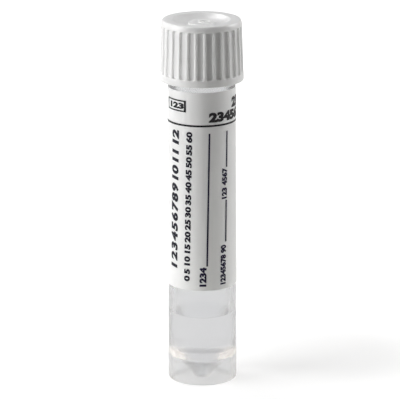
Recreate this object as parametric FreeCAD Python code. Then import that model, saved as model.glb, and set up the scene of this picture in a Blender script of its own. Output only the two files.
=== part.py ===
"""Specimen swab tube: a self-standing screw-cap tube of liquid medium, with a paper label.

Millimetres. +Z runs up the axis, the origin is the centre of the foot on the bench, and the label's
print faces -Y. Every radius is built outwards from the bore, and every height from the foot or the rim.
"""

import FreeCAD, Part
import math
import os

# Tube: one clear polypropylene moulding
TUBE_HEIGHT = 70.2  # foot to the rim of the neck
BORE_RADIUS = 5.4
NECK_WALL = 0.7
NECK_STEP = 0.4  # how far the body stands out past the neck
NECK_HEIGHT = 8.6  # shoulder to rim
BODY_TAPER = 0.2  # the body is this much wider above the skirt than at the shoulder
RIM_ROUND = 0.2
RIM_LEAD = 0.2  # bevel inside the rim, for the cap's plug

# Foot of the tube: a skirt round a hollow cone
SKIRT_STEP = 0.05  # how far the skirt stands out past the body
SKIRT_WALL = 1.0
FOOT_ROUND = 0.6
TIP_CLEARANCE = 0.4  # bench to the underside of the cone's tip
TIP_FLOOR = 0.9
TIP_RADIUS = 0.9
CONE_DEPTH = 5.0
CONE_WALL = 0.9
GROOVE_WIDTH = 0.4  # width of the groove's roof, between the cone and the skirt

# Screw cap: one white polypropylene moulding
CAP_CLEARANCE = 0.1  # round the shoulder, and wide enough for the neck's thread
RIM_GAP = 0.1  # rim of the neck to the underside of the cap's top
CAP_WALL = 0.85  # behind the flutes, at their upper ends
CAP_TAPER = 0.37  # the collar is this much wider than the upper ends of the ribs
CAP_OVERLAP = 0.85  # how far the collar hangs below the shoulder
CAP_PLATE = 1.2
MOUTH_CHAMFER = 0.2
COLLAR_HEIGHT = 1.4
COLLAR_ROUND = 0.15
FLUTE_COUNT = 28
FLUTE_WIDTH = 1.25
FLUTE_DEPTH = 0.4
FLUTE_CORNER = 0.35
FLUTE_PLACE = -1.9  # where the first flute lies, in degrees from +X
BAND_HEIGHT = 1.2  # smooth band over the flutes
EDGE_TUCK = 0.35  # how far the band curves in towards the top
LAND_WIDTH = 1.9
DISH_DEPTH = 1.1
DISH_FLAT = 0.15  # width of the dish's flat floor, round the boss
BOSS_RADIUS = 2.56
BOSS_HEIGHT = 0.5
BOSS_CHAMFER = 0.15
GATE_OFFSET = 0.6
GATE_RADIUS = 1.3  # low ring round the gate mark
GATE_INSIDE = 0.85
GATE_HEIGHT = 0.15
SPRUE_RADIUS = 0.3
SPRUE_DEPTH = 0.2

# Inside the cap: a ring that plugs the bore, and a socket that grips the end of the swab's stick
PLUG_CLEARANCE = 0.05
PLUG_WALL = 0.7
PLUG_LENGTH = 2.4
PLUG_LEAD = 0.25
SOCKET_RADIUS = 1.3
SOCKET_WALL = 0.8
SOCKET_LENGTH = 5.0
SOCKET_LEAD = 0.2

# Liquid medium
FILL_DEPTH = 7.2  # over the cone
FILL_CLEARANCE = 0.03
MENISCUS_RISE = 0.35
MENISCUS_WIDTH = 1.6

# Label, wrapped round the body
LABEL_MARGIN = 1.3  # lower edge of the cap to upper edge of the label
LABEL_HEIGHT = 39.8
LABEL_THICKNESS = 0.1
LABEL_GLUE = 0.02
LABEL_WINDOW = 17.2  # between the label's two ends, at the back, where the fill shows

# Print on the label. Places round it are degrees from its front, positive towards +X.
INK_GAP = 0.01
INK_THICKNESS = 0.03
RULE_DROP = 6.6  # upper edge of the label to the rule that runs round it
RULE_WIDTH = 0.37
LINE_WIDTH = 0.32
PRINT_MARGIN = 1.4  # label's foot to the lower end of each column, and the rule to its upper end
HOUR_COUNT = 12
HOUR_START = 3.0  # bare length under the column of hours
HOUR_SHARE = 0.62  # inked share of each hour's length of the column
HOUR_PLACE = -52.0
HOUR_ACROSS = 2.0
MINUTE_COUNT = 13
MINUTE_SHARE = 0.6
MINUTE_PLACE = -23.5
MINUTE_ACROSS = 1.25
NAME_PLACE = 10.7  # the three write-on lines, each after a short field number
NAME_CAPTION = 3.8
NOTE_PLACE = 44.7
NOTE_CAPTION = 7.8
NOTE_LINE = 8.4
DATE_CAPTION = 6.0
CAPTION_ACROSS = 1.1
CAPTION_SPACE = 0.35
BOX_PLACE = -50.4  # outlined box above the rule
BOX_ACROSS = 5.25
BOX_RISE = 2.6
BOX_HEIGHT = 2.3
BOX_LINE = 0.28
BATCH_PLACE = 15.7  # two rows of digits above the rule
BATCH_PITCH = 14.5
BATCH_COUNTS = (6, 3)
BATCH_INDENT = 48.0  # the upper row starts this much further round
BATCH_RISE = 0.6
BATCH_HEIGHT = 2.0
BATCH_ROW = 2.4
BATCH_ACROSS = 1.15

# Radii, outwards from the bore
NECK_RADIUS = BORE_RADIUS + NECK_WALL
SHOULDER_RADIUS = NECK_RADIUS + NECK_STEP
BODY_FOOT_RADIUS = SHOULDER_RADIUS + BODY_TAPER
SKIRT_RADIUS = BODY_FOOT_RADIUS + SKIRT_STEP
CAP_BORE_RADIUS = SHOULDER_RADIUS + CAP_CLEARANCE
RIB_TOP_RADIUS = CAP_BORE_RADIUS + CAP_WALL + FLUTE_DEPTH
COLLAR_RADIUS = RIB_TOP_RADIUS + CAP_TAPER

# Heights, up from the foot and both ways from the rim
TIP_Z = TIP_CLEARANCE + TIP_FLOOR
CONE_TOP_Z = TIP_Z + CONE_DEPTH
FILL_Z = CONE_TOP_Z + FILL_DEPTH
SHOULDER_Z = TUBE_HEIGHT - NECK_HEIGHT
CAP_FOOT_Z = SHOULDER_Z - CAP_OVERLAP
PLATE_Z = TUBE_HEIGHT + RIM_GAP
DISH_Z = PLATE_Z + CAP_PLATE
CAP_TOP_Z = DISH_Z + DISH_DEPTH
FLUTE_FOOT_Z = CAP_FOOT_Z + COLLAR_HEIGHT
FLUTE_TOP_Z = CAP_TOP_Z - BAND_HEIGHT
LABEL_TOP_Z = CAP_FOOT_Z - LABEL_MARGIN
LABEL_FOOT_Z = LABEL_TOP_Z - LABEL_HEIGHT
RULE_Z = LABEL_TOP_Z - RULE_DROP

COLUMN_FOOT_Z = LABEL_FOOT_Z + PRINT_MARGIN
COLUMN_TOP_Z = RULE_Z - PRINT_MARGIN

CONE_SLOPE = (BORE_RADIUS - TIP_RADIUS) / CONE_DEPTH
FRONT = 270  # where -Y lies, in degrees round from +X
AXIS = FreeCAD.Vector(0, 0, 1)
ORIGIN = FreeCAD.Vector(0, 0, 0)


def body_radius(z):
    """Outer radius of the tube's tapered body at height z."""
    share = (z - CONE_TOP_Z) / (SHOULDER_Z - CONE_TOP_Z)
    return BODY_FOOT_RADIUS + share * (SHOULDER_RADIUS - BODY_FOOT_RADIUS)


def rib_radius(z):
    """Radius of the cap's tapered outside, which is the crest of its ribs, at height z."""
    share = (z - CAP_FOOT_Z) / (FLUTE_TOP_Z - CAP_FOOT_Z)
    return COLLAR_RADIUS + share * (RIB_TOP_RADIUS - COLLAR_RADIUS)


def arc(centre, radius, middle, end):
    """Two points on a circle, at its middle and end angles in degrees: a curved step of an outline."""

    def at(degrees):
        turn = math.radians(degrees)
        return (centre[0] + radius * math.cos(turn), centre[1] + radius * math.sin(turn))

    return (at(middle), at(end))


def turned(outline, degrees=360):
    """The solid that a closed outline sweeps round Z. A step is a (radius, height) or an arc's pair."""
    spot = [FreeCAD.Vector(outline[0][0], 0, outline[0][1])]
    edges = []
    for step in outline[1:] + outline[:1]:
        points = step if isinstance(step[0], tuple) else (step,)
        stops = [FreeCAD.Vector(r, 0, z) for r, z in points]
        if len(stops) == 2:
            edges.append(Part.Arc(spot[-1], stops[0], stops[1]).toShape())
        else:
            edges.append(Part.LineSegment(spot[-1], stops[0]).toShape())
        spot.append(stops[-1])
    return Part.Face(Part.Wire(edges)).revolve(ORIGIN, AXIS, degrees)


def make_tube():
    """Body, threaded neck (drawn plain), skirt and hollow cone, as one turned wall."""
    skirt_inside = SKIRT_RADIUS - SKIRT_WALL
    groove_radius = skirt_inside - GROOVE_WIDTH
    cone_across = CONE_WALL * math.hypot(1, CONE_SLOPE)  # the cone's wall, measured level
    groove_z = TIP_Z + (groove_radius - cone_across - TIP_RADIUS) / CONE_SLOPE
    tip_outside = TIP_RADIUS + cone_across - TIP_FLOOR * CONE_SLOPE
    return turned(
        [
            (skirt_inside, 0),
            (SKIRT_RADIUS - FOOT_ROUND, 0),
            arc((SKIRT_RADIUS - FOOT_ROUND, FOOT_ROUND), FOOT_ROUND, -45, 0),
            (SKIRT_RADIUS, CONE_TOP_Z),
            (body_radius(CONE_TOP_Z + SKIRT_STEP), CONE_TOP_Z + SKIRT_STEP),
            (SHOULDER_RADIUS, SHOULDER_Z),
            (NECK_RADIUS, SHOULDER_Z + NECK_STEP),
            (NECK_RADIUS, TUBE_HEIGHT - RIM_ROUND),
            arc((NECK_RADIUS - RIM_ROUND, TUBE_HEIGHT - RIM_ROUND), RIM_ROUND, 45, 90),
            (BORE_RADIUS + RIM_LEAD, TUBE_HEIGHT),
            (BORE_RADIUS, TUBE_HEIGHT - RIM_LEAD),
            (BORE_RADIUS, CONE_TOP_Z),
            (TIP_RADIUS, TIP_Z),
            (0, TIP_Z),
            (0, TIP_CLEARANCE),
            (tip_outside, TIP_CLEARANCE),
            (groove_radius, groove_z),
            (skirt_inside, groove_z),
        ]
    )


def flute():
    """One flute's cutter at +X: an upright slot with rounded corners, leaning with the cap's taper."""
    half = FLUTE_WIDTH / 2
    straight = half - FLUTE_CORNER
    foot = FLUTE_FOOT_Z
    top = FLUTE_TOP_Z
    corners = [
        (straight, foot + FLUTE_CORNER, -90),
        (straight, top - FLUTE_CORNER, 0),
        (-straight, top - FLUTE_CORNER, 90),
        (-straight, foot + FLUTE_CORNER, 180),
    ]
    bends = []
    for y, z, start in corners:
        turns = [math.radians(start + step) for step in (0, 45, 90)]
        ring = [(y + FLUTE_CORNER * math.cos(t), z + FLUTE_CORNER * math.sin(t)) for t in turns]
        bends.append([FreeCAD.Vector(0, a, b) for a, b in ring])
    edges = []
    for bend, following in zip(bends, bends[1:] + bends[:1]):
        edges.append(Part.Arc(*bend).toShape())
        edges.append(Part.LineSegment(bend[2], following[0]).toShape())
    cutter = Part.Face(Part.Wire(edges)).extrude(FreeCAD.Vector(FLUTE_DEPTH + CAP_TAPER + 1, 0, 0))
    root = rib_radius(foot) - FLUTE_DEPTH
    lean = math.degrees(math.atan2(rib_radius(foot) - rib_radius(top), top - foot))
    cutter.rotate(FreeCAD.Vector(0, 0, foot), FreeCAD.Vector(0, 1, 0), -lean)
    cutter.translate(FreeCAD.Vector(root, 0, 0))
    return cutter


def make_cap():
    """Ribbed cap with a dished top, its plug ring and its swab socket, as one turned and fluted piece."""
    rim_radius = RIB_TOP_RADIUS - EDGE_TUCK
    land_inside = rim_radius - LAND_WIDTH
    edge_radius = (BAND_HEIGHT**2 + EDGE_TUCK**2) / (2 * EDGE_TUCK)
    edge_sweep = 2 * math.degrees(math.atan2(EDGE_TUCK, BAND_HEIGHT))
    edge_centre = (RIB_TOP_RADIUS - edge_radius, FLUTE_TOP_Z)
    dish_wall = land_inside - BOSS_RADIUS - DISH_FLAT
    dish_radius = (dish_wall**2 + DISH_DEPTH**2) / (2 * DISH_DEPTH)
    dish_sweep = 2 * math.degrees(math.atan2(DISH_DEPTH, dish_wall))
    dish_centre = (BOSS_RADIUS + DISH_FLAT, DISH_Z + dish_radius)
    boss_top = DISH_Z + BOSS_HEIGHT
    plug_radius = BORE_RADIUS - PLUG_CLEARANCE
    plug_foot = PLATE_Z - PLUG_LENGTH
    socket_foot = PLATE_Z - SOCKET_LENGTH
    cap = turned(
        [
            (0, PLATE_Z),
            (SOCKET_RADIUS, PLATE_Z),
            (SOCKET_RADIUS, socket_foot + SOCKET_LEAD),
            (SOCKET_RADIUS + SOCKET_LEAD, socket_foot),
            (SOCKET_RADIUS + SOCKET_WALL, socket_foot),
            (SOCKET_RADIUS + SOCKET_WALL, PLATE_Z),
            (plug_radius - PLUG_WALL, PLATE_Z),
            (plug_radius - PLUG_WALL, plug_foot),
            (plug_radius - PLUG_LEAD, plug_foot),
            (plug_radius, plug_foot + PLUG_LEAD),
            (plug_radius, PLATE_Z),
            (CAP_BORE_RADIUS, PLATE_Z),
            (CAP_BORE_RADIUS, CAP_FOOT_Z + MOUTH_CHAMFER),
            (CAP_BORE_RADIUS + MOUTH_CHAMFER, CAP_FOOT_Z),
            (COLLAR_RADIUS - COLLAR_ROUND, CAP_FOOT_Z),
            (rib_radius(CAP_FOOT_Z + COLLAR_ROUND), CAP_FOOT_Z + COLLAR_ROUND),
            (RIB_TOP_RADIUS, FLUTE_TOP_Z),
            arc(edge_centre, edge_radius, edge_sweep / 2, edge_sweep),
            (land_inside, CAP_TOP_Z),
            arc(dish_centre, dish_radius, -90 + dish_sweep / 2, -90),
            (BOSS_RADIUS, DISH_Z),
            (BOSS_RADIUS, boss_top - BOSS_CHAMFER),
            (BOSS_RADIUS - BOSS_CHAMFER, boss_top),
            (0, boss_top),
        ]
    )
    gate = FreeCAD.Vector(GATE_OFFSET, 0, boss_top)
    sprue = gate - FreeCAD.Vector(0, 0, SPRUE_DEPTH)
    cap = cap.fuse(Part.makeCylinder(GATE_RADIUS, GATE_HEIGHT, gate))
    cutters = [
        Part.makeCylinder(GATE_INSIDE, GATE_HEIGHT, gate),
        Part.makeCylinder(SPRUE_RADIUS, SPRUE_DEPTH, sprue),
    ]
    for index in range(FLUTE_COUNT):
        cutter = flute()
        cutter.rotate(ORIGIN, AXIS, FLUTE_PLACE + 360 * index / FLUTE_COUNT)
        cutters.append(cutter)
    return cap.cut(cutters)


def wrapped(inset, thickness, foot, top, start, end):
    """A patch that follows the body's taper, inset off it, from the start to the end angle in degrees."""
    patch = turned(
        [
            (body_radius(foot) + inset, foot),
            (body_radius(foot) + inset + thickness, foot),
            (body_radius(top) + inset + thickness, top),
            (body_radius(top) + inset, top),
        ],
        end - start,
    )
    patch.rotate(ORIGIN, AXIS, start)
    return patch


def spread(length):
    """Degrees that a length takes up round the body."""
    return math.degrees(length / SHOULDER_RADIUS)


def make_label():
    """Paper label, wrapped round the body with its two ends a window apart at the back."""
    half = 180 - spread(LABEL_WINDOW) / 2
    return wrapped(LABEL_GLUE, LABEL_THICKNESS, LABEL_FOOT_Z, LABEL_TOP_Z, FRONT - half, FRONT + half)


def ink(place, across, foot, top):
    """One field of ink on the label, centred at a place round it."""
    inset = LABEL_GLUE + LABEL_THICKNESS + INK_GAP
    start = FRONT + place - spread(across) / 2
    return wrapped(inset, INK_THICKNESS, foot, top, start, start + spread(across))


def ink_column(place, across, count, share, foot):
    """A column of evenly spaced fields, each inked over a share of its pitch."""
    pitch = (COLUMN_TOP_Z - foot) / count
    return [ink(place, across, foot + n * pitch, foot + (n + share) * pitch) for n in range(count)]


def write_on(place, caption, foot, top):
    """A field number, beside the lower end of the line that follows it."""
    beside = place - spread(CAPTION_ACROSS / 2)
    return [
        ink(beside, CAPTION_ACROSS, foot, foot + caption),
        ink(place, LINE_WIDTH, foot + caption + CAPTION_SPACE, top),
    ]


def make_print():
    """The label's print, as separate thin fields: rule, columns, write-on lines, box and batch digits."""
    round_it = 2 * math.pi * SHOULDER_RADIUS - LABEL_WINDOW
    fields = [ink(0, round_it, RULE_Z - RULE_WIDTH / 2, RULE_Z + RULE_WIDTH / 2)]
    fields += ink_column(HOUR_PLACE, HOUR_ACROSS, HOUR_COUNT, HOUR_SHARE, COLUMN_FOOT_Z + HOUR_START)
    fields += ink_column(MINUTE_PLACE, MINUTE_ACROSS, MINUTE_COUNT, MINUTE_SHARE, COLUMN_FOOT_Z)
    fields += write_on(NAME_PLACE, NAME_CAPTION, COLUMN_FOOT_Z, COLUMN_TOP_Z)
    note_top = COLUMN_FOOT_Z + NOTE_CAPTION + NOTE_LINE
    fields += write_on(NOTE_PLACE, NOTE_CAPTION, COLUMN_FOOT_Z, note_top)
    fields += write_on(NOTE_PLACE, DATE_CAPTION, note_top + CAPTION_SPACE, COLUMN_TOP_Z)
    box_foot = RULE_Z + BOX_RISE
    box_top = box_foot + BOX_HEIGHT
    side = spread(BOX_ACROSS - BOX_LINE) / 2
    frame = [
        ink(BOX_PLACE, BOX_ACROSS, box_foot, box_foot + BOX_LINE),
        ink(BOX_PLACE, BOX_ACROSS, box_top - BOX_LINE, box_top),
        ink(BOX_PLACE - side, BOX_LINE, box_foot + BOX_LINE, box_top - BOX_LINE),
        ink(BOX_PLACE + side, BOX_LINE, box_foot + BOX_LINE, box_top - BOX_LINE),
    ]
    fields.append(frame[0].fuse(frame[1:]))
    for row, count in enumerate(BATCH_COUNTS):
        foot = RULE_Z + BATCH_RISE + row * BATCH_ROW
        for index in range(count):
            place = BATCH_PLACE + row * BATCH_INDENT + index * BATCH_PITCH
            fields.append(ink(place, BATCH_ACROSS, foot, foot + BATCH_HEIGHT))
    return Part.Compound(fields)


def make_medium():
    """Liquid in the cone and the foot of the bore, with its surface drawn up where it wets the wall."""
    wall = BORE_RADIUS - FILL_CLEARANCE
    tip = TIP_RADIUS - FILL_CLEARANCE
    foot = TIP_Z + FILL_CLEARANCE
    rise_radius = (MENISCUS_WIDTH**2 + MENISCUS_RISE**2) / (2 * MENISCUS_RISE)
    rise_sweep = 2 * math.degrees(math.atan2(MENISCUS_RISE, MENISCUS_WIDTH))
    rise_centre = (wall - MENISCUS_WIDTH, FILL_Z + rise_radius)
    return turned(
        [
            (0, foot),
            (tip, foot),
            (wall, foot + (wall - tip) / CONE_SLOPE),
            (wall, FILL_Z + MENISCUS_RISE),
            arc(rise_centre, rise_radius, -90 + rise_sweep / 2, -90),
            (0, FILL_Z),
        ]
    )


os.makedirs("parts", exist_ok=True)
NODES = {
    "tube": make_tube(),
    "transport_medium": make_medium(),
    "label": make_label(),
    "label_print": make_print(),
    "screw_cap": make_cap(),
}
for name, shape in NODES.items():
    shape.exportStep(f"parts/{name}.step")
    print(name, len(shape.Solids), "solids", round(shape.Volume, 1), "mm3", shape.isValid())
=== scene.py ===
"""Specimen swab tube: a screw-cap tube of liquid medium with a wrap-round label, dressed over its frame.

Metres. +Z runs up the axis and the label's print faces -Y. Each section makes one piece.
"""

import math

import bmesh
import bpy
import numpy as np
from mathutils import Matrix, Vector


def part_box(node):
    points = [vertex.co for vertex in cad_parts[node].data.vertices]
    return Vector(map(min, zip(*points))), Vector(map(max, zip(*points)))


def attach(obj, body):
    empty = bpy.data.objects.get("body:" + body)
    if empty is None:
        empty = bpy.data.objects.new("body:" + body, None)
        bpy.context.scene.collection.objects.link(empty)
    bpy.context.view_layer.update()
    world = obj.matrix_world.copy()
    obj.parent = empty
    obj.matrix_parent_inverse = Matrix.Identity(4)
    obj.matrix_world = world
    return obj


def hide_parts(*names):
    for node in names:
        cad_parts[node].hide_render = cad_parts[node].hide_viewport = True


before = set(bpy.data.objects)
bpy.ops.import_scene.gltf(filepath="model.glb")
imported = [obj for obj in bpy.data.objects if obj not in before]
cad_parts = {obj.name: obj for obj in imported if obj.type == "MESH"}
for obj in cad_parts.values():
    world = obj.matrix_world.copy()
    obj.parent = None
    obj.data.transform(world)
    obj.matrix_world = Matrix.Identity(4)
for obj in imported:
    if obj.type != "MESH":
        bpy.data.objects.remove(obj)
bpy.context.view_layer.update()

# ---------------------------------------------------------------------------------------------------
# Tube: the clear body. One injection moulding in slightly hazy polypropylene: a tapered body, a neck
# with a raised thread, a skirt to stand on, and a cone that closes the bore inside the skirt.

MM = 0.001
BORE_RADIUS = 5.4 * MM
NECK_RADIUS = 6.1 * MM
SHOULDER_RADIUS = 6.5 * MM
BODY_FOOT_RADIUS = 6.7 * MM
SKIRT_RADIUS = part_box("tube")[1].x
SKIRT_WALL = 1.0 * MM
SKIRT_INSIDE = SKIRT_RADIUS - SKIRT_WALL
SKIRT_SLOPE = 0.3 * MM
GROOVE_WIDTH = 0.4 * MM
RIM_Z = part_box("tube")[1].z
NECK_HEIGHT = 8.6 * MM
SHOULDER_Z = RIM_Z - NECK_HEIGHT
SHOULDER_SLOPE = 0.4 * MM
CONE_TOP_Z = 6.3 * MM
CONE_WALL = 0.9 * MM
TIP_RADIUS = 0.9 * MM
TIP_Z = 1.3 * MM
TIP_CLEARANCE = 0.4 * MM
THREAD_PITCH = 3.0 * MM
THREAD_HEIGHT = 0.34 * MM
THREAD_TURNS = 1.8
NECK_THREAD_Z = SHOULDER_Z + 1.9 * MM
NECK_ROWS = 80
FILL_EDGE_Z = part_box("transport_medium")[1].z
WET_SKIN = 0.3 * MM
TUBE_COLUMNS = 160


def eased(corners, steps=6):
    """An outline with rounded corners, from rows of (radius, height, ease).

    Each corner P becomes a parabola that leaves the straight 'ease' before P and rejoins it 'ease' past
    it: (1-s)^2 A + 2s(1-s) P + s^2 B. The two ends stay as they are.
    """
    corners = np.array(corners, float)
    points, ease = corners[:, :2], corners[1:-1, 2:3]
    before, at, after = points[:-2], points[1:-1], points[2:]
    back = (before - at) / np.linalg.norm(before - at, axis=1, keepdims=True)
    on = (after - at) / np.linalg.norm(after - at, axis=1, keepdims=True)
    s = np.linspace(0, 1, steps)[None, :, None]
    a, p, b = (x[:, None, :] for x in (at + back * ease, at, at + on * ease))
    bends = (1 - s) ** 2 * a + 2 * s * (1 - s) * p + s**2 * b
    return np.concatenate([points[:1], bends.reshape(-1, 2), points[-1:]])


def smooth_step(x):
    """0 below 0, 1 above 1, and 3x^2 - 2x^3 between."""
    x = np.clip(x, 0, 1)
    return x * x * (3 - 2 * x)


def thread(angle, z, start_z, turns, half_width=0.42 * MM, slope=0.25 * MM, fade=0.12):
    """Height share, 0 to 1, of a right-hand ridge that climbs one pitch a turn from start_z.

    The distance from the ridge's crest line, measured up the wall, is what is left of
    (z - start_z) / pitch - angle / full turn after rounding to whole turns. Each end fades out over
    that share of a turn.
    """
    climb = (z - start_z) / THREAD_PITCH - angle / (2 * math.pi)
    turn = np.round(climb)
    across = np.abs(climb - turn) * THREAD_PITCH
    along = turn + angle / (2 * math.pi)
    ends = smooth_step(along / fade) * smooth_step((turns - along) / fade)
    return smooth_step((half_width + slope - across) / slope) * ends


def turned_piece(name, radius, height, angle):
    """A closed piece from a grid: rows run along an outline and columns round the axis.

    Point (i, j) is (radius cos angle, radius sin angle, height). Rows on the axis shrink to one point.
    """
    rows, columns = np.broadcast_shapes(radius.shape, height.shape, angle.shape)
    radius, height, angle = (np.broadcast_to(x, (rows, columns)) for x in (radius, height, angle))
    points = np.stack([radius * np.cos(angle), radius * np.sin(angle), height], axis=-1).reshape(-1, 3)
    i, j = np.meshgrid(np.arange(rows - 1), np.arange(columns), indexing="ij")
    following = (j + 1) % columns
    quads = np.stack([i * columns + j, i * columns + following], axis=-1)
    quads = np.concatenate([quads, quads[..., ::-1] + columns], axis=-1).reshape(-1, 4)
    mesh = bpy.data.meshes.new(name)
    mesh.from_pydata(points, [], quads)
    shell = bmesh.new()
    shell.from_mesh(mesh)
    bmesh.ops.remove_doubles(shell, verts=shell.verts, dist=1e-7)
    bmesh.ops.recalc_face_normals(shell, faces=shell.faces)
    shell.to_mesh(mesh)
    shell.free()
    mesh.shade_smooth()
    piece = bpy.data.objects.new(name, mesh)
    bpy.context.scene.collection.objects.link(piece)
    return piece


def body_radius(z):
    """Outer radius of the body at height z: a straight taper from the cone's top up to the shoulder."""
    share = (z - CONE_TOP_Z) / (SHOULDER_Z - CONE_TOP_Z)
    return BODY_FOOT_RADIUS + share * (SHOULDER_RADIUS - BODY_FOOT_RADIUS)


cone_slope = (BORE_RADIUS - TIP_RADIUS) / (CONE_TOP_Z - TIP_Z)
cone_across = CONE_WALL * math.hypot(1, cone_slope)
groove_radius = SKIRT_INSIDE - GROOVE_WIDTH
groove_z = TIP_Z + (groove_radius - cone_across - TIP_RADIUS) / cone_slope
tip_outside = TIP_RADIUS + cone_across - (TIP_Z - TIP_CLEARANCE) * cone_slope

under = eased(
    [
        (0, TIP_CLEARANCE, 0),
        (tip_outside, TIP_CLEARANCE, 0.3 * MM),
        (groove_radius, groove_z, 0.1 * MM),
        (SKIRT_INSIDE, groove_z, 0.15 * MM),
        (SKIRT_INSIDE, 0, 0.12 * MM),
        (SKIRT_RADIUS, 0, 0.6 * MM),
        (SKIRT_RADIUS, CONE_TOP_Z - SKIRT_SLOPE, 0.1 * MM),
        (body_radius(CONE_TOP_Z + SKIRT_SLOPE), CONE_TOP_Z + SKIRT_SLOPE, 0.1 * MM),
        (SHOULDER_RADIUS, SHOULDER_Z, 0.12 * MM),
        (NECK_RADIUS, SHOULDER_Z + SHOULDER_SLOPE, 0.1 * MM),
        (NECK_RADIUS, SHOULDER_Z + 0.6 * MM, 0),
    ]
)
neck_z = np.linspace(SHOULDER_Z + 0.7 * MM, RIM_Z - 0.5 * MM, NECK_ROWS)
neck = np.stack([np.full_like(neck_z, NECK_RADIUS), neck_z], axis=1)
inside = eased(
    [
        (NECK_RADIUS, RIM_Z - 0.4 * MM, 0),
        (NECK_RADIUS, RIM_Z, 0.2 * MM),
        (BORE_RADIUS, RIM_Z, 0.2 * MM),
        (BORE_RADIUS, FILL_EDGE_Z, 0),
        (BORE_RADIUS, CONE_TOP_Z, 0.35 * MM),
        (TIP_RADIUS, TIP_Z, 0.5 * MM),
        (0, TIP_Z, 0),
    ]
)
outline = np.concatenate([under, neck, inside])
on_neck = np.zeros(len(outline))
on_neck[len(under) : len(under) + len(neck)] = 1
tube_angle = np.linspace(0, 2 * math.pi, TUBE_COLUMNS, endpoint=False)[None, :]
ridge = thread(tube_angle, outline[:, 1:2], NECK_THREAD_Z, THREAD_TURNS) * on_neck[:, None]
tube = turned_piece("tube_wall", outline[:, :1] + THREAD_HEIGHT * ridge, outline[:, 1:2], tube_angle)


class Signal:
    """A socket's value among some nodes. Arithmetic on it adds Math nodes."""

    def __init__(self, nodes, socket):
        self.nodes, self.socket = nodes, socket

    def maths(self, operation, first, second):
        """A Math node's value, from that operation on the two."""
        return self.nodes.node("ShaderNodeMath", {"operation": operation}, {0: first, 1: second})

    def larger(self, other):
        """The larger of the two values."""
        return self.maths("MAXIMUM", self, other)

    def beside(self, output):
        """Another output of the same node."""
        return Signal(self.nodes, self.socket.node.outputs[output])

    def __add__(self, other):
        return self.maths("ADD", self, other)

    def __sub__(self, other):
        return self.maths("SUBTRACT", self, other)

    def __rsub__(self, other):
        return self.maths("SUBTRACT", other, self)

    def __mul__(self, other):
        return self.maths("MULTIPLY", self, other)

    __radd__, __rmul__ = __add__, __mul__


class Nodes:
    """The nodes of a material or of the world, and the shader that they feed."""

    def __init__(self, tree, shader):
        self.tree = tree
        self.shader = tree.nodes[shader]

    def node(self, kind, settings, inputs, output=0):
        """Adds a node, sets its settings, fills or links its sockets, and gives one output as a Signal."""
        node = self.tree.nodes.new(kind)
        for setting, value in settings.items():
            setattr(node, setting, value)
        for socket, value in inputs.items():
            if isinstance(value, Signal):
                self.tree.links.new(value.socket, node.inputs[socket])
            else:
                node.inputs[socket].default_value = value
        return Signal(self, node.outputs[output])

    def between(self, factor, low, high):
        """A colour from low to high by factor."""
        settings = {"data_type": "RGBA"}
        inputs = {"Factor": factor, 6: (*low, 1), 7: (*high, 1)}
        return self.node("ShaderNodeMix", settings, inputs, 2)

    def ramp(self, value, low, high):
        """0 where the value is below low, 1 where it is above high, and eased between."""
        inputs = {"Value": value, "From Min": low, "From Max": high}
        return self.node("ShaderNodeMapRange", {"interpolation_type": "SMOOTHSTEP"}, inputs)

    def link(self, socket, signal):
        """Feeds a signal to one of the shader's sockets."""
        self.tree.links.new(signal.socket, self.shader.inputs[socket])


class Finish(Nodes):
    """A material. Constants go straight onto the shader's sockets, and node() adds any other node."""

    def __init__(self, name, **constants):
        self.material = bpy.data.materials.new(name)
        self.material.use_nodes = True
        super().__init__(self.material.node_tree, "Principled BSDF")
        for socket, value in constants.items():
            self.shader.inputs[socket.replace("_", " ")].default_value = value
        self.place = self.node("ShaderNodeTexCoord", {}, {}, "Object")

    def noise(self, size, detail=2.0, roughness=0.5):
        """Noise from 0 to 1 whose lumps are about 'size' metres across."""
        inputs = {"Vector": self.place, "Scale": 1 / size, "Detail": detail, "Roughness": roughness}
        return self.node("ShaderNodeTexNoise", {}, inputs, "Fac")

    def bump(self, height, depth):
        """Links a bump of that depth in metres, from a height of 0 to 1, to the shader's normal."""
        inputs = {"Height": height, "Distance": depth, "Strength": 1.0}
        self.link("Normal", self.node("ShaderNodeBump", {}, inputs, "Normal"))

    def on(self, piece, inside=None):
        """Covers the piece, or only the faces whose centres lie inside an outline of (radius, height).

        The outline's radii are given at rising heights, and no face below or above it is covered.
        """
        if inside is None:
            piece.data.materials.clear()
            piece.data.materials.append(self.material)
            return
        piece.data.materials.append(self.material)
        centres = np.empty((len(piece.data.polygons), 3))
        piece.data.polygons.foreach_get("center", centres.ravel())
        radius, height = np.hypot(centres[:, 0], centres[:, 1]), centres[:, 2]
        covered = radius < np.interp(height, *inside[:, ::-1].T, left=0, right=0)
        piece.data.polygons.foreach_set("material_index", covered.astype(np.int32))


clear_plastic = Finish("hazy_polypropylene", IOR=1.49, Transmission_Weight=0.97)
clear_plastic.link("Base Color", clear_plastic.between(
    clear_plastic.noise(6 * MM), (0.95, 0.955, 0.965), (0.965, 0.97, 0.975)
))
clear_plastic.link("Roughness", 0.18 + 0.07 * clear_plastic.noise(1.5 * MM))
clear_plastic.bump(clear_plastic.noise(0.9 * MM), 0.006 * MM)
clear_plastic.on(tube)

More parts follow.
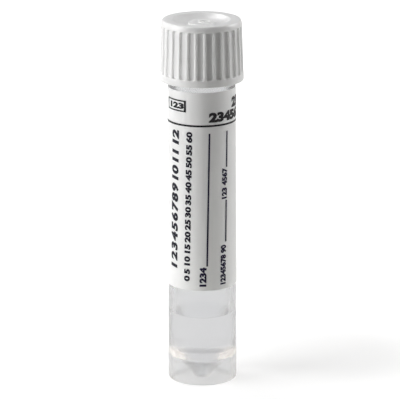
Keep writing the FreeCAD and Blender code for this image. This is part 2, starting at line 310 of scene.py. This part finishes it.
# The wetted wall has the index of plastic over liquid, and the liquid's sides have none of their own,
# so that light crosses wall and liquid as it does where they touch.
wet_plastic = Finish("wetted_polypropylene", Roughness=0.03, IOR=1.12, Transmission_Weight=1.0)
wet_plastic.link("Base Color", wet_plastic.between(
    wet_plastic.noise(4 * MM), (0.91, 0.91, 0.915), (0.925, 0.925, 0.93)
))
wetted = np.array([(TIP_RADIUS, TIP_Z - 0.01 * MM), (BORE_RADIUS, CONE_TOP_Z), (BORE_RADIUS, FILL_EDGE_Z)])
wet_plastic.on(tube, wetted + (WET_SKIN, 0))
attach(tube, "tube_body")
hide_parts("tube")

# ---------------------------------------------------------------------------------------------------
# Transport medium: about 0.8 ml of water-clear liquid that fills the cone and the foot of the bore. Its
# surface creeps up the wall that it wets.

FILL_GAP = 0.03 * MM
MENISCUS_WIDTH = 1.6 * MM
MENISCUS_RISE = 0.35 * MM
FILL_Z = FILL_EDGE_Z - MENISCUS_RISE
SURFACE_SKIN = 0.05 * MM
liquid_radius = BORE_RADIUS - FILL_GAP
liquid_tip = TIP_RADIUS - FILL_GAP
liquid_foot = TIP_Z + FILL_GAP
liquid_sides = eased(
    [
        (0, liquid_foot, 0),
        (liquid_tip, liquid_foot, 0.4 * MM),
        (liquid_radius, liquid_foot + (liquid_radius - liquid_tip) / cone_slope, 0.3 * MM),
        (liquid_radius, FILL_EDGE_Z, 0),
    ]
)

# The surface falls from the wall as a parabola: its height over the fill is rise * (1 - inward)^2.
inward = np.linspace(0, 1, 10)[1:]
surface = np.stack(
    [liquid_radius - MENISCUS_WIDTH * inward, FILL_Z + MENISCUS_RISE * (1 - inward) ** 2], axis=1
)
liquid_outline = np.concatenate([liquid_sides, surface, [(0, FILL_Z)]])
liquid = turned_piece("medium_fill", liquid_outline[:, :1], liquid_outline[:, 1:2], tube_angle[:, ::2])
medium = Finish("liquid_medium", Roughness=0.0, IOR=1.0, Transmission_Weight=1.0)
medium.link("Base Color", medium.between(medium.noise(4 * MM), (0.985, 0.985, 0.99), (1.0, 1.0, 1.0)))
medium.on(liquid)
skin = Finish("liquid_surface", Roughness=0.03, IOR=1.05, Transmission_Weight=1.0)
skin.link("Base Color", skin.between(skin.noise(4 * MM), (0.95, 0.955, 0.965), (0.97, 0.975, 0.98)))
skin_radius = liquid_radius - SURFACE_SKIN
skin.on(liquid, np.array([(skin_radius, FILL_Z - SURFACE_SKIN), (skin_radius, FILL_EDGE_Z)]))
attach(liquid, "tube_body")
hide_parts("transport_medium")

# ---------------------------------------------------------------------------------------------------
# Label: smooth white paper with a matt varnish, stuck round the body by its own glue. Its two ends
# leave a window at the back, where the fill shows.

LABEL_GLUE = 0.02 * MM
LABEL_THICKNESS = 0.1 * MM
LABEL_WINDOW = 17.2 * MM
LABEL_FOOT_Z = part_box("label")[0].z
LABEL_TOP_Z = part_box("label")[1].z
LABEL_COLUMNS = 180


def patch(inset, thickness, foot, top, start, end, columns):
    """Points and faces of a thin patch on the body, between two heights and two angles from the front.

    Its section is a flat loop of (inset, height) with small corners: rows are the loop's corners, columns
    run from the start angle to the end angle, and one face closes each end.
    """
    step = thickness / 4
    loop = np.array([
        (0, foot + step), (0, top - step), (step, top), (thickness - step, top),
        (thickness, top - step), (thickness, foot + step), (thickness - step, foot), (step, foot),
    ])
    angle = np.linspace(start, end, columns)[None, :]
    points = on_body(inset + loop[:, :1], angle, np.broadcast_to(loop[:, 1:2], (len(loop), columns)))
    i, j = np.meshgrid(np.arange(len(loop)), np.arange(columns - 1), indexing="ij")
    following = (i + 1) % len(loop)
    quads = np.stack([i * columns + j, i * columns + j + 1, following * columns + j + 1,
                      following * columns + j], axis=-1).reshape(-1, 4).tolist()
    ends = np.arange(len(loop)) * columns
    return points, quads + [ends.tolist(), (ends[::-1] + columns - 1).tolist()]


def on_body(inset, angle, z):
    """Points at 'inset' over the body's surface, at an angle round from the front and a height.

    They are (r sin angle, -r cos angle, z), where r is the body's radius there plus the inset.
    """
    radius = body_radius(z) + inset
    points = np.stack(np.broadcast_arrays(radius * np.sin(angle), -radius * np.cos(angle), z), axis=-1)
    return points.reshape(-1, 3)


def joined_piece(name, parts):
    """One object from several lots of points and faces, each lot's faces counted on from the last."""
    starts = np.cumsum([0] + [len(points) for points, _ in parts])
    faces = [[start + i for i in face] for (_, lot), start in zip(parts, starts) for face in lot]
    mesh = bpy.data.meshes.new(name)
    mesh.from_pydata(np.concatenate([points for points, _ in parts]), [], faces)
    shell = bmesh.new()
    shell.from_mesh(mesh)
    bmesh.ops.recalc_face_normals(shell, faces=shell.faces)
    shell.to_mesh(mesh)
    shell.free()
    mesh.shade_smooth()
    mesh.set_sharp_from_angle(angle=math.radians(40))
    piece = bpy.data.objects.new(name, mesh)
    bpy.context.scene.collection.objects.link(piece)
    return piece


label_half = math.pi - LABEL_WINDOW / SHOULDER_RADIUS / 2
label = joined_piece("label_wrap", [patch(LABEL_GLUE, LABEL_THICKNESS, LABEL_FOOT_Z, LABEL_TOP_Z,
                                          -label_half, label_half, LABEL_COLUMNS)])
paper = Finish("label_paper", IOR=1.45, Subsurface_Weight=0.5, Subsurface_Scale=0.0005,
               Subsurface_Radius=(1.0, 1.0, 1.0))
paper.link("Base Color", paper.between(paper.noise(0.25 * MM, 4.0), (0.94, 0.94, 0.945), (0.98, 0.98, 0.985)))
paper.link("Roughness", 0.5 + 0.12 * paper.noise(0.8 * MM))
paper.bump(paper.noise(0.12 * MM, 3.0), 0.003 * MM)
paper.on(label)
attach(label, "tube_body")
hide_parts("label")

# ---------------------------------------------------------------------------------------------------
# Label print: dark ink in a thin film on the label. A rule runs round near the top. Below it two scales
# of plain numbers and three write-on lines read upwards; above it are a boxed number and a batch number.

INK_THICKNESS = 0.03 * MM
INK_GAP = 0.01 * MM
INK_INSET = LABEL_GLUE + LABEL_THICKNESS + INK_GAP
PRINT_LEAN = 0.02
PRINT_MIDDLE_Z = (LABEL_FOOT_Z + LABEL_TOP_Z) / 2
RULE_Z = LABEL_TOP_Z - 6.6 * MM
RULE_WIDTH = 0.37 * MM
RULE_END_ANGLE = 0.02
LINE_WIDTH = 0.32 * MM
SLICE = 0.3 * MM


def figures(text, length, height, upward, place, z, weight=0.0, slant=0.0, word_gap=1.0):
    """Points and faces of a line of figures on the label, 'length' along the line and 'height' tall.

    Flat text is cut into slices and bent: reading across, a point (x, y) goes to the angle place + x / r
    and the height z + y. Reading upward it goes to the angle place - y / r and the height z + x. The
    weight thickens the strokes, the slant leans them and the word gap is a share of a usual space.
    """
    curve = bpy.data.curves.new(text, "FONT")
    curve.body = text
    curve.offset, curve.shear, curve.space_word = weight, slant, word_gap
    curve.extrude, curve.resolution_u = 0.5, 3
    holder = bpy.data.objects.new(text, curve)
    flat = bpy.data.meshes.new_from_object(holder)
    shell = bmesh.new()
    shell.from_mesh(flat)
    bmesh.ops.remove_doubles(shell, verts=shell.verts, dist=1e-5)
    x, y, _ = np.array([v.co for v in shell.verts]).T
    axis, low, high, span = (1, y.min(), y.max(), height) if upward else (0, x.min(), x.max(), length)
    bend = [1 - axis, axis, 0]
    for cut in np.linspace(low, high, math.ceil(span / SLICE) + 1)[1:-1]:
        everything = shell.verts[:] + shell.edges[:] + shell.faces[:]
        across = [cut * b for b in bend]
        bmesh.ops.bisect_plane(shell, geom=everything, dist=1e-6, plane_co=across, plane_no=bend)
    shell.verts.index_update()
    points = np.array([v.co for v in shell.verts])
    faces = [[v.index for v in face.verts] for face in shell.faces]
    shell.free()
    bpy.data.objects.remove(holder)
    bpy.data.curves.remove(curve)
    bpy.data.meshes.remove(flat)
    points = (points - points.min(axis=0)) / np.ptp(points, axis=0) * (length, height, INK_THICKNESS)
    along, up, depth = points.T
    angle, level = (-up / SHOULDER_RADIUS, along) if upward else (along / SHOULDER_RADIUS, up)
    return on_body(INK_INSET + depth, leant(math.radians(place) + angle, z + level), z + level), faces


def leant(angle, z):
    """An angle that grows with the height above the label's middle, so that the print leans a little."""
    return angle + PRINT_LEAN * (z - PRINT_MIDDLE_Z) / SHOULDER_RADIUS


def upright_line(place, foot, top):
    """Points and faces of a line up the label: a narrow patch at the front, turned to the place and leant."""
    points, faces = patch(INK_INSET, INK_THICKNESS, foot, top, 0, LINE_WIDTH / SHOULDER_RADIUS, 3)
    x, y, z = points.T
    radius, angle = np.hypot(x, y), np.arctan2(x, -y) + math.radians(place)
    return on_body(radius - body_radius(z), leant(angle, z), z), faces


def ink(name, colour, piece_parts):
    """A printed piece in one colour of ink, which lies a little thin and glossy in places."""
    piece = joined_piece(name, piece_parts)
    finish = Finish(name.replace("print", "ink"), IOR=1.3)
    thinner = tuple(c + 0.008 for c in colour)
    finish.link("Base Color", finish.between(finish.noise(0.4 * MM), colour, thinner))
    finish.link("Roughness", 0.35 + 0.15 * finish.noise(0.3 * MM))
    finish.on(piece)
    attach(piece, "tube_body")
    return piece


rule_half = label_half - RULE_END_ANGLE
rule = ink("rule_print", (0.004, 0.004, 0.006), [
    patch(INK_INSET, INK_THICKNESS, RULE_Z - RULE_WIDTH / 2, RULE_Z + RULE_WIDTH / 2,
          -rule_half, rule_half, LABEL_COLUMNS),
])
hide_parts("label_print")

ink("hour_print", (0.004, 0.004, 0.012), [
    figures("1 2 3 4 5 6 7 8 9 10 11 12", 27.9 * MM, 2.0 * MM, True, -43.0, LABEL_FOOT_Z + 4.1 * MM,
            weight=0.05, slant=0.1, word_gap=0.4),
])
ink("minute_print", (0.005, 0.004, 0.014), [
    figures("0 5 10 15 20 25 30 35 40 45 50 55 60", 30.2 * MM, 1.25 * MM, True, -18.0,
            LABEL_FOOT_Z + 1.8 * MM, weight=0.055, word_gap=0.65),
])

FIELD_HEIGHT = 1.3 * MM
FIELD_WEIGHT = 0.055
NAME_LINE_PLACE = 9.3
LATER_LINE_PLACE = 43.3
ink("field_print", (0.008, 0.004, 0.03), [
    figures("1234", 3.9 * MM, FIELD_HEIGHT, True, 10.0, LABEL_FOOT_Z + 0.9 * MM, FIELD_WEIGHT),
    upright_line(NAME_LINE_PLACE, LABEL_FOOT_Z + 5.0 * MM, RULE_Z - 1.5 * MM),
    figures("12345678 90", 8.0 * MM, FIELD_HEIGHT, True, 45.8, LABEL_FOOT_Z + 1.0 * MM, FIELD_WEIGHT),
    upright_line(LATER_LINE_PLACE, LABEL_FOOT_Z + 9.6 * MM, LABEL_FOOT_Z + 18.0 * MM),
    figures("123 4567", 6.2 * MM, FIELD_HEIGHT, True, 46.2, LABEL_FOOT_Z + 18.3 * MM, FIELD_WEIGHT),
    upright_line(LATER_LINE_PLACE, LABEL_FOOT_Z + 24.6 * MM, RULE_Z - 1.4 * MM),
])

BOX_LINE = 0.28 * MM
BOX_LEFT, BOX_RIGHT = math.radians(-73.5), math.radians(-27.3)
BOX_LEFT_SIDE = BOX_LINE / SHOULDER_RADIUS
BOX_RIGHT_SIDE = 1.6 * BOX_LEFT_SIDE
BOX_FOOT_Z = RULE_Z + 2.6 * MM
BOX_TOP_Z = BOX_FOOT_Z + 2.3 * MM
BOX_COLUMNS = 24
ink("boxed_print", (0.004, 0.004, 0.006), [
    patch(INK_INSET, INK_THICKNESS, BOX_FOOT_Z, BOX_FOOT_Z + BOX_LINE, BOX_LEFT, BOX_RIGHT, BOX_COLUMNS),
    patch(INK_INSET, INK_THICKNESS, BOX_TOP_Z - BOX_LINE, BOX_TOP_Z, BOX_LEFT, BOX_RIGHT, BOX_COLUMNS),
    patch(INK_INSET, INK_THICKNESS, BOX_FOOT_Z + BOX_LINE, BOX_TOP_Z - BOX_LINE,
          BOX_LEFT, BOX_LEFT + BOX_LEFT_SIDE, 3),
    patch(INK_INSET, INK_THICKNESS, BOX_FOOT_Z + BOX_LINE, BOX_TOP_Z - BOX_LINE,
          BOX_RIGHT - BOX_RIGHT_SIDE, BOX_RIGHT, 3),
    figures("123", 3.7 * MM, 1.2 * MM, False, -67.0, BOX_FOOT_Z + 0.55 * MM, 0.06),
])

BATCH_HEIGHT = 2.1 * MM
BATCH_WEIGHT = 0.065
ink("batch_print", (0.003, 0.003, 0.004), [
    figures("234567", 9.8 * MM, BATCH_HEIGHT, False, 9.0, RULE_Z + 0.6 * MM, BATCH_WEIGHT),
    figures("234", 4.6 * MM, BATCH_HEIGHT, False, 57.0, RULE_Z + 2.95 * MM, BATCH_WEIGHT),
])

# ---------------------------------------------------------------------------------------------------
# Screw cap: one white polypropylene moulding. Narrow ribs between flat flutes give the grip. The top
# is dished round a boss, and under it are the plug ring, the swab's socket and the thread.

CAP_FOOT_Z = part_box("screw_cap")[0].z
CAP_TOP_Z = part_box("screw_cap")[1].z
COLLAR_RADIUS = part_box("screw_cap")[1].x
CAP_BORE_RADIUS = 6.6 * MM
RIB_TOP_RADIUS = COLLAR_RADIUS - 0.37 * MM
FLUTE_FOOT_Z = CAP_FOOT_Z + 1.4 * MM
FLUTE_TOP_Z = CAP_TOP_Z - 1.2 * MM
FLUTE_COUNT = 28
FLUTE_PLACE = math.radians(-1.8)
FLUTE_WIDTH = 1.25 * MM
FLUTE_DEPTH = 0.4 * MM
FLUTE_CORNER = 0.35 * MM
FLUTE_WALL = 0.17 * MM
PLATE_Z = RIM_Z + 0.1 * MM
DISH_RADIUS = 5.6 * MM
DISH_Z = CAP_TOP_Z - 1.1 * MM
BOSS_RADIUS = 2.56 * MM
BOSS_Z = DISH_Z + 0.5 * MM
GATE_OFFSET = 0.6 * MM
GATE_RADIUS = 1.3 * MM
GATE_INSIDE = 0.85 * MM
GATE_HEIGHT = 0.2 * MM
GATE_WALL = 0.15 * MM
SPRUE_RADIUS = 0.3 * MM
SPRUE_DEPTH = 0.2 * MM
SPRUE_WALL = 0.2 * MM
PLUG_RADIUS = BORE_RADIUS - 0.05 * MM
PLUG_INSIDE = PLUG_RADIUS - 0.7 * MM
PLUG_Z = PLATE_Z - 2.4 * MM
SOCKET_RADIUS = 1.3 * MM
SOCKET_OUTSIDE = SOCKET_RADIUS + 0.8 * MM
SOCKET_Z = PLATE_Z - 5.0 * MM
CAP_THREAD_Z = NECK_THREAD_Z + 0.5 * THREAD_PITCH
CAP_THREAD_TURNS = 1.4
CAP_BORE_ROWS = 42
BOSS_ROWS = 30


def rib_radius(z):
    """Radius at the crest of the ribs at height z: a straight taper from the collar up to their top."""
    share = (z - CAP_FOOT_Z) / (FLUTE_TOP_Z - CAP_FOOT_Z)
    return COLLAR_RADIUS + share * (RIB_TOP_RADIUS - COLLAR_RADIUS)


def flute_depth(angle, z, radius):
    """How far the flutes cut in: the depth inside a rounded rectangle round each flute's middle, 0 outside.

    The distance past the rectangle's outline is |max(q, 0)| + min(max(qx, qz), 0) - corner, where q is
    the distance from the middle less the rectangle's half size without its corners.
    """
    pitch = 2 * math.pi / FLUTE_COUNT
    turn = (angle - FLUTE_PLACE + pitch / 2) % pitch - pitch / 2
    level = (FLUTE_FOOT_Z + FLUTE_TOP_Z) / 2
    across = np.abs(turn) * radius - (FLUTE_WIDTH / 2 - FLUTE_CORNER)
    up = np.abs(z - level) - ((FLUTE_TOP_Z - FLUTE_FOOT_Z) / 2 - FLUTE_CORNER)
    outside = np.hypot(np.maximum(across, 0), np.maximum(up, 0))
    past = outside + np.minimum(np.maximum(across, up), 0) - FLUTE_CORNER
    flat_floor = radius * (1 / np.cos(turn) - 1)
    return smooth_step(0.5 - past / FLUTE_WALL) * (FLUTE_DEPTH - flat_floor)


cap_inside = eased(
    [
        (0, PLATE_Z, 0),
        (SOCKET_RADIUS, PLATE_Z, 0.1 * MM),
        (SOCKET_RADIUS, SOCKET_Z, 0.15 * MM),
        (SOCKET_OUTSIDE, SOCKET_Z, 0.15 * MM),
        (SOCKET_OUTSIDE, PLATE_Z, 0.15 * MM),
        (PLUG_INSIDE, PLATE_Z, 0.15 * MM),
        (PLUG_INSIDE, PLUG_Z, 0.1 * MM),
        (PLUG_RADIUS, PLUG_Z, 0.25 * MM),
        (PLUG_RADIUS, PLATE_Z, 0.03 * MM),
        (CAP_BORE_RADIUS, PLATE_Z, 0.05 * MM),
        (CAP_BORE_RADIUS, PLATE_Z - 0.3 * MM, 0),
    ],
    steps=3,
)
cap_bore_z = np.linspace(PLATE_Z - 0.5 * MM, CAP_FOOT_Z + 0.7 * MM, CAP_BORE_ROWS)
cap_bore = np.stack([np.full_like(cap_bore_z, CAP_BORE_RADIUS), cap_bore_z], axis=1)
cap_foot = eased(
    [
        (CAP_BORE_RADIUS, CAP_FOOT_Z + 0.5 * MM, 0),
        (CAP_BORE_RADIUS, CAP_FOOT_Z, 0.2 * MM),
        (COLLAR_RADIUS, CAP_FOOT_Z, 0.15 * MM),
        (rib_radius(CAP_FOOT_Z + 0.4 * MM), CAP_FOOT_Z + 0.4 * MM, 0),
    ],
    steps=5,
)

# Rows and columns of the ribs lie close together where a flute's end or side falls, and far apart
# between. The rows are heights in from a flute's end, and the columns degrees from a flute's middle.
flute_end = np.array([-0.18, -0.12, -0.07, -0.03, 0, 0.03, 0.07, 0.12, 0.17, 0.23, 0.32, 0.45]) * MM
rib_z = np.concatenate([
    FLUTE_FOOT_Z + flute_end,
    np.linspace(FLUTE_FOOT_Z + 2 * MM, FLUTE_TOP_Z - 2 * MM, 4),
    (FLUTE_TOP_Z - flute_end)[::-1],
])
ribs = np.stack([rib_radius(rib_z), rib_z], axis=1)
rim_radius = RIB_TOP_RADIUS - 0.35 * MM
cap_top = eased(
    [
        (rib_radius(FLUTE_TOP_Z + 0.18 * MM), FLUTE_TOP_Z + 0.18 * MM, 0),
        (RIB_TOP_RADIUS - 0.03 * MM, FLUTE_TOP_Z + 0.55 * MM, 0.3 * MM),
        (rim_radius + 0.1 * MM, CAP_TOP_Z, 0.2 * MM),
        (DISH_RADIUS, CAP_TOP_Z, 0.12 * MM),
        (DISH_RADIUS - 1.5 * MM, DISH_Z + 0.1 * MM, 1.4 * MM),
        (BOSS_RADIUS, DISH_Z, 0.12 * MM),
        (BOSS_RADIUS, BOSS_Z, 0.15 * MM),
        (BOSS_RADIUS - 0.3 * MM, BOSS_Z, 0),
    ],
    steps=5,
)
boss_r = np.linspace(BOSS_RADIUS - 0.35 * MM, 0, BOSS_ROWS)
boss = np.stack([boss_r, np.full_like(boss_r, BOSS_Z)], axis=1)
cap_outline = np.concatenate([cap_inside, cap_bore, cap_foot, ribs, cap_top, boss])
on_bore, on_ribs, on_boss = (np.zeros((len(cap_outline), 1)) for _ in range(3))
on_bore[len(cap_inside) : len(cap_inside) + len(cap_bore)] = 1
ribs_start = len(cap_inside) + len(cap_bore) + len(cap_foot)
on_ribs[ribs_start : ribs_start + len(ribs)] = 1
on_boss[-len(boss) :] = 1
flute_side = np.radians([0, 2.4, 3.3, 3.7, 4.0, 4.3, 4.6, 4.9, 5.3, 5.9])
one_flute = np.concatenate([-flute_side[:0:-1], flute_side, [math.pi / FLUTE_COUNT]])
flute_middles = FLUTE_PLACE + 2 * math.pi / FLUTE_COUNT * np.arange(FLUTE_COUNT)
cap_angle = (flute_middles[:, None] + one_flute).reshape(1, -1)
cap_r, cap_z = cap_outline[:, :1], cap_outline[:, 1:2]
cap_ridge = thread(cap_angle, cap_z, CAP_THREAD_Z, CAP_THREAD_TURNS) * on_bore
cap_radius = cap_r - THREAD_HEIGHT * cap_ridge - flute_depth(cap_angle, cap_z, cap_r) * on_ribs

# The gate's ring stands on the boss between two circles, and the sprue's dimple sinks inside a third.
# Each circle is smooth_step of (radius - distance from its middle) / wall.
from_gate = np.hypot(cap_r * np.cos(cap_angle) - GATE_OFFSET, cap_r * np.sin(cap_angle))
gate = smooth_step((GATE_RADIUS - from_gate) / GATE_WALL)
gate -= smooth_step((GATE_INSIDE + GATE_WALL - from_gate) / GATE_WALL)
sprue = smooth_step((SPRUE_RADIUS + SPRUE_WALL / 2 - from_gate) / SPRUE_WALL)
cap_height = cap_z + (GATE_HEIGHT * gate - SPRUE_DEPTH * sprue) * on_boss
cap = turned_piece("cap_shell", cap_radius, cap_height, cap_angle)

white_plastic = Finish("white_polypropylene", IOR=1.49, Subsurface_Weight=1.0, Subsurface_Scale=0.001,
                       Subsurface_Radius=(1.0, 1.0, 1.0))
white_plastic.link("Base Color", white_plastic.between(
    white_plastic.noise(3 * MM), (0.81, 0.81, 0.81), (0.85, 0.85, 0.85)
))
white_plastic.link("Roughness", 0.28 + 0.08 * white_plastic.noise(0.5 * MM))
white_plastic.bump(white_plastic.noise(0.15 * MM), 0.004 * MM)
white_plastic.on(cap)
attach(cap, "cap")
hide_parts("screw_cap")

# ---------------------------------------------------------------------------------------------------
# Studio: a pale floor, a long lens and three soft lamps: a strong one to the left, one to the right and
# one high behind. Clear plastic shows no lamp, but a pale room that glows warmly at its two sides.

LAMP_AWAY = 0.6


def lamp(name, azimuth, elevation, level, size):
    """A square soft lamp, azimuth degrees round from the front and elevation degrees up from the tube.

    Its power is level * pi^2 * distance^2, so that a white matt surface that faces it renders at level.
    """
    turn, tilt = math.radians(azimuth), math.radians(elevation)
    light = bpy.data.lights.new(name, "AREA")
    light.energy = level * math.pi**2 * LAMP_AWAY**2
    light.size = size
    holder = bpy.data.objects.new(name, light)
    beside, above = LAMP_AWAY * math.cos(tilt), LAMP_AWAY * math.sin(tilt)
    holder.location = (beside * math.sin(turn), -beside * math.cos(turn), CAP_TOP_Z / 2 + above)
    holder.rotation_euler = (math.pi / 2 - tilt, 0, turn)
    holder.visible_transmission = False
    bpy.context.scene.collection.objects.link(holder)


lamp("key_lamp", -73, 16, 0.94, 0.4)
lamp("fill_lamp", 102, 22, 0.58, 0.3)
lamp("top_lamp", -140, 50, 0.48, 0.3)

FLOOR_HALF = 4.0
FLOOR_NEAR, FLOOR_FAR = 0.02, 0.16
SHADE_MIDDLE = (0.025, 0.012, 0.0)
SHADE_NEAR, SHADE_FAR = 0.01, 0.03
FLOOR_GLOW = 0.8
FLOOR_GLOW_THROUGH = 0.52
FLOOR_GLOW_LOST = 0.48
floor_corners = FLOOR_HALF * np.array([(-1, -1, 0), (1, -1, 0), (1, 1, 0), (-1, 1, 0)])
floor_mesh = bpy.data.meshes.new("floor")
floor_mesh.from_pydata(floor_corners, [], [(0, 1, 2, 3)])
floor = bpy.data.objects.new("floor", floor_mesh)
bpy.context.scene.collection.objects.link(floor)

# To the camera the floor is white: its own glow and the lamps' light add up to 1. In a fixed spot beside
# the tube the glow is turned down and more of the white is the lamps' light, a faint painted shade in
# which the key lamp's real shadow shows. Light itself meets a floor that is pale near the tube and grey
# further out, a painted pool of light.
pale = Finish("pale_floor", Roughness=0.9, Emission_Strength=1.0)
looked_at = pale.node("ShaderNodeLightPath", {}, {}, "Is Camera Ray")
seen_through = looked_at.beside("Is Glossy Ray").larger(looked_at.beside("Is Transmission Ray"))
reach = pale.node("ShaderNodeVectorMath", {"operation": "LENGTH"}, {0: pale.place}, "Value")
away = pale.ramp(reach, FLOOR_NEAR, FLOOR_FAR)
# For light rays the floor is pale and warm near the tube and grey further out: a painted pool of light that
# the floor bounces onto the tube.
painted_light_pool = pale.between(away, (0.92, 0.92, 0.86), (0.3, 0.3, 0.3))
# The spot beside the tube where the camera sees less glow and more lamp light is painted shade, which lets
# the key lamp's shadow show there.
from_shade = pale.node("ShaderNodeVectorMath", {"operation": "DISTANCE"},
                       {0: pale.place, 1: SHADE_MIDDLE}, "Value")
painted_shade_spot = looked_at * (1.0 - pale.ramp(from_shade, SHADE_NEAR, SHADE_FAR))
seen = pale.between(painted_shade_spot, (0.26, 0.26, 0.26), (0.75, 0.75, 0.75))
pale.link("Base Color", pale.node("ShaderNodeMix", {"data_type": "RGBA"},
                                  {"Factor": looked_at.larger(seen_through), 6: painted_light_pool, 7: seen}, 2))
pale.link("Emission Color", looked_at * (FLOOR_GLOW + (1 - FLOOR_GLOW) * away) - FLOOR_GLOW_LOST * painted_shade_spot
          + FLOOR_GLOW_THROUGH * seen_through)
pale.on(floor)

ROOM_LEVEL = 0.03
GLASS_LEVEL = 0.55
SIDE_GLOW = 0.7
TOP_GLOW = 1.1
SIDE_TINT = (1.0, 0.93, 0.84)
world = bpy.data.worlds.new("studio")
world.use_nodes = True
bpy.context.scene.world = world
sky = Nodes(world.node_tree, "Background")
sky_looked_at = sky.node("ShaderNodeLightPath", {}, {}, "Is Camera Ray")
sky_through = sky_looked_at.beside("Is Glossy Ray").larger(sky_looked_at.beside("Is Transmission Ray"))
towards = sky.node("ShaderNodeTexCoord", {}, {}, "Generated")
sideways = sky.node("ShaderNodeSeparateXYZ", {}, {0: towards}, "X")
to_side = sky.ramp(sideways.maths("ABSOLUTE", sideways, 0.0), 0.2, 0.65)
to_top = sky.ramp(sideways.beside("Z"), 0.4, 0.7)
glow = sky_through * (GLASS_LEVEL + SIDE_GLOW * to_side + TOP_GLOW * to_top)
sky.link("Color", sky.between(sky_through * to_side, (1.0, 1.0, 1.0), SIDE_TINT))
sky.link("Strength", glow.larger(ROOM_LEVEL).larger(sky_looked_at))

LIGHT_BOUNCES = 24
CAMERA_AWAY = 0.62
CAMERA_ELEVATION = math.radians(15.55)
CAMERA_ROLL = math.radians(-0.18)
CAMERA_AIM = (-0.0004, 0, 0.03627)
CAMERA_LENS = 284.2
camera_data = bpy.data.cameras.new("camera")
camera_data.lens = CAMERA_LENS
camera_data.clip_end = 20
camera = bpy.data.objects.new("camera", camera_data)
camera.location = (CAMERA_AIM[0], -CAMERA_AWAY * math.cos(CAMERA_ELEVATION),
                   CAMERA_AIM[2] + CAMERA_AWAY * math.sin(CAMERA_ELEVATION))
camera.rotation_euler = (math.pi / 2 - CAMERA_ELEVATION, 0, 0)
camera.rotation_euler.rotate_axis("Z", CAMERA_ROLL)
scene = bpy.context.scene
scene.collection.objects.link(camera)
scene.camera = camera
scene.view_settings.view_transform = "Standard"
scene.cycles.max_bounces = LIGHT_BOUNCES
scene.cycles.glossy_bounces = LIGHT_BOUNCES
scene.cycles.transmission_bounces = LIGHT_BOUNCES
